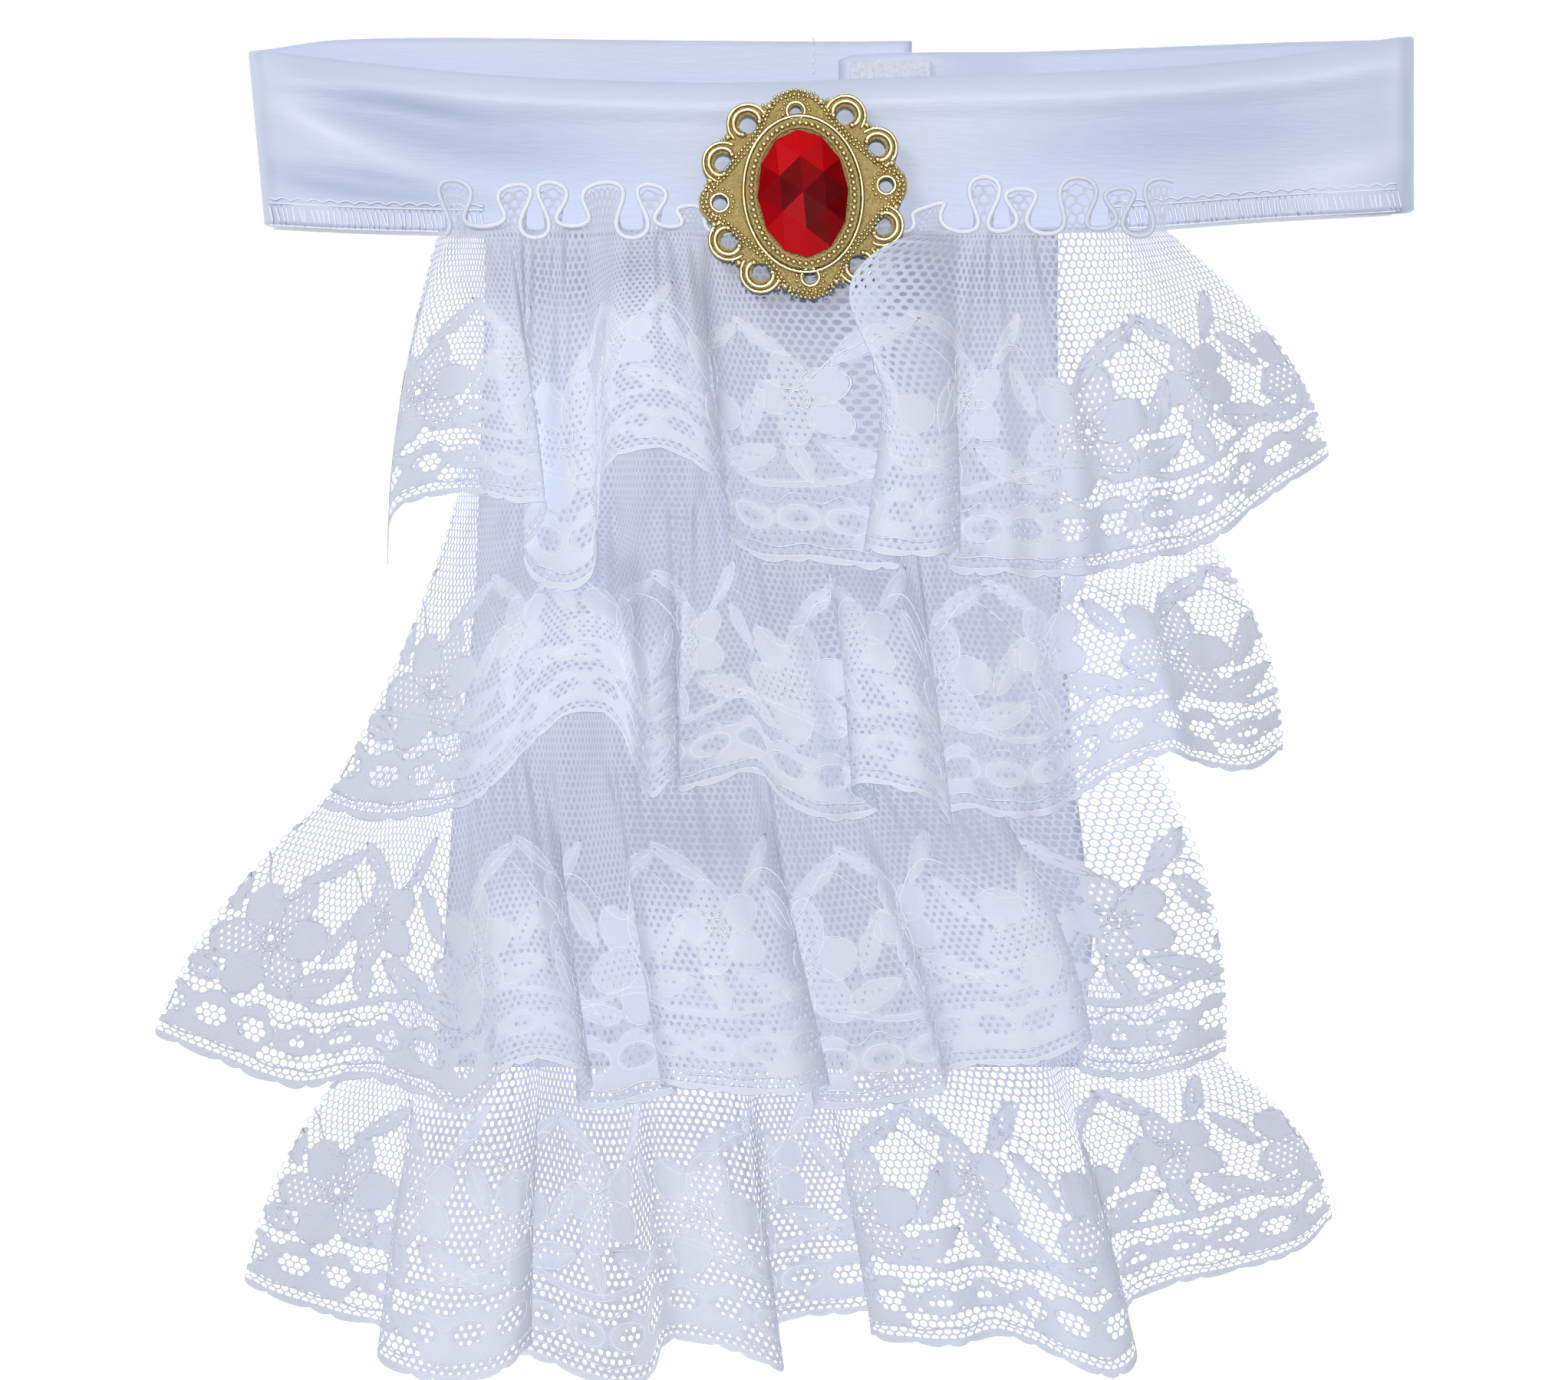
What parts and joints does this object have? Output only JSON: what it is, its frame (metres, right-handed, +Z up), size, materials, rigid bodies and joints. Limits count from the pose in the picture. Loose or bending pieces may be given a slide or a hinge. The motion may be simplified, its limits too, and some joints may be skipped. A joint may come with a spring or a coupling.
{
  "type": "lace jabot",
  "caption": "Costume jabot laid flat: satin neckband, tiers of gathered lace on a satin panel, and an oval stone in a pierced gilt brooch.",
  "frame": {"origin": "middle of the footprint, on the surface that the jabot lies on", "axes": "+Y up the neck, along the greatest length; +Z up from the surface, through the thickness; +X to the wearer's left"},
  "size_m": [0.2478, 0.2648, 0.0236],
  "materials": {
    "satin": "pale blue-white satin with a soft sheen",
    "lace": "white nylon lace, matt threads",
    "hook_fabric": "white brushed loop fabric",
    "gilt": "bright gold plating",
    "red_stone": "clear deep red acrylic, faceted"
  },
  "bodies": {
    "root": {"neckband": "satin", "hook_patch": "hook_fabric", "backing_panel": "satin", "ruffle_1": "lace", "ruffle_2": "lace", "ruffle_3": "lace", "ruffle_4": "lace", "brooch_frame": "gilt", "brooch_gem": "red_stone"}
  },
  "joints": []
}
